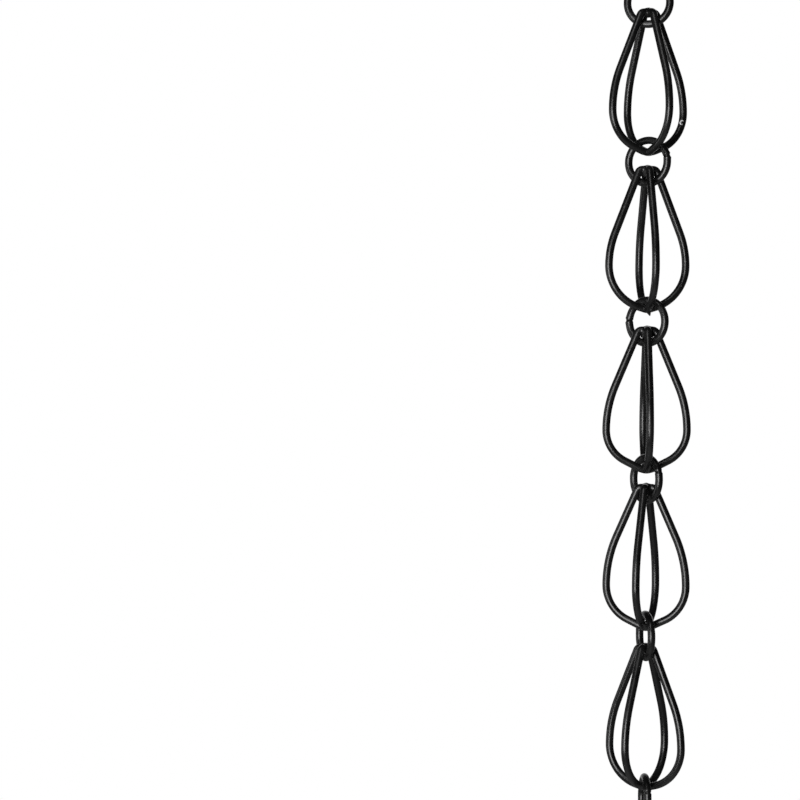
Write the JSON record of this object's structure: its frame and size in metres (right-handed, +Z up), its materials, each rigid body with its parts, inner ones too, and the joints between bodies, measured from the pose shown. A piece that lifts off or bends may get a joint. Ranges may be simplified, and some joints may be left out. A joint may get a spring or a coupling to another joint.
{
  "type": "rain chain",
  "caption": "Hanging rain chain of open teardrop wire cages linked by round wire rings, black coated, to lead roof water from a gutter down to the ground.",
  "frame": {"origin": "where a hook bears, inside the top of the top ring", "axes": "+Z up along the hanging chain, -Y towards the front"},
  "size_m": [0.0588, 0.0588, 0.5643],
  "materials": {
    "wire_coat": "satin black powder coat on iron wire",
    "weld_coat": "satin black powder coat over weld metal"
  },
  "bodies": {
    "ring_1": {"ring_1": "wire_coat"},
    "drop_1": {"drop_1_hoop": "wire_coat", "drop_1_front_rib": "wire_coat", "drop_1_back_rib": "wire_coat", "drop_1_crown_weld": "weld_coat", "drop_1_foot_weld": "weld_coat"},
    "ring_2": {"ring_2": "wire_coat"},
    "drop_2": {"drop_2_hoop": "wire_coat", "drop_2_front_rib": "wire_coat", "drop_2_back_rib": "wire_coat", "drop_2_crown_weld": "weld_coat", "drop_2_foot_weld": "weld_coat"},
    "ring_3": {"ring_3": "wire_coat"},
    "drop_3": {"drop_3_hoop": "wire_coat", "drop_3_front_rib": "wire_coat", "drop_3_back_rib": "wire_coat", "drop_3_crown_weld": "weld_coat", "drop_3_foot_weld": "weld_coat"},
    "ring_4": {"ring_4": "wire_coat"},
    "drop_4": {"drop_4_hoop": "wire_coat", "drop_4_front_rib": "wire_coat", "drop_4_back_rib": "wire_coat", "drop_4_crown_weld": "weld_coat", "drop_4_foot_weld": "weld_coat"},
    "ring_5": {"ring_5": "wire_coat"},
    "drop_5": {"drop_5_hoop": "wire_coat", "drop_5_front_rib": "wire_coat", "drop_5_back_rib": "wire_coat", "drop_5_crown_weld": "weld_coat", "drop_5_foot_weld": "weld_coat"},
    "ring_6": {"ring_6": "wire_coat"}
  },
  "joints": [
    {"name": "drop_1_swing", "type": "hinge", "parent": "ring_1", "child": "drop_1", "pos_m": [0, 0, -0.01185], "axis": [0.1908, 0.9816, 0], "range_deg": [-60, 60]},
    {"name": "ring_2_tilt", "type": "hinge", "parent": "drop_1", "child": "ring_2", "pos_m": [0, 0, -0.10675], "axis": [0.891, -0.454, 0], "range_deg": [-20, 20]},
    {"name": "drop_2_swing", "type": "hinge", "parent": "ring_2", "child": "drop_2", "pos_m": [0, 0, -0.11801], "axis": [-0.454, -0.891, 0], "range_deg": [-60, 60]},
    {"name": "ring_3_tilt", "type": "hinge", "parent": "drop_2", "child": "ring_3", "pos_m": [0, 0, -0.21119], "axis": [-0.8192, 0.5736, 0], "range_deg": [-30, 30]},
    {"name": "drop_3_swing", "type": "hinge", "parent": "ring_3", "child": "drop_3", "pos_m": [0, 0, -0.22456], "axis": [-0.5736, -0.8192, 0], "range_deg": [-60, 60]},
    {"name": "ring_4_tilt", "type": "hinge", "parent": "drop_3", "child": "ring_4", "pos_m": [0, 0, -0.31853], "axis": [0.5878, -0.809, 0], "range_deg": [-20, 20]},
    {"name": "drop_4_swing", "type": "hinge", "parent": "ring_4", "child": "drop_4", "pos_m": [0, 0, -0.32945], "axis": [0.809, 0.5878, 0], "range_deg": [-60, 60]},
    {"name": "ring_5_tilt", "type": "hinge", "parent": "drop_4", "child": "ring_5", "pos_m": [0, 0, -0.42344], "axis": [-0.2756, 0.9613, 0], "range_deg": [-20, 20]},
    {"name": "drop_5_swing", "type": "hinge", "parent": "ring_5", "child": "drop_5", "pos_m": [0, 0, -0.43397], "axis": [0.9613, 0.2756, 0], "range_deg": [-60, 60]},
    {"name": "ring_6_tilt", "type": "hinge", "parent": "drop_5", "child": "ring_6", "pos_m": [0, 0, -0.52998], "axis": [0.1392, -0.9903, 0], "range_deg": [-24, 24]}
  ]
}
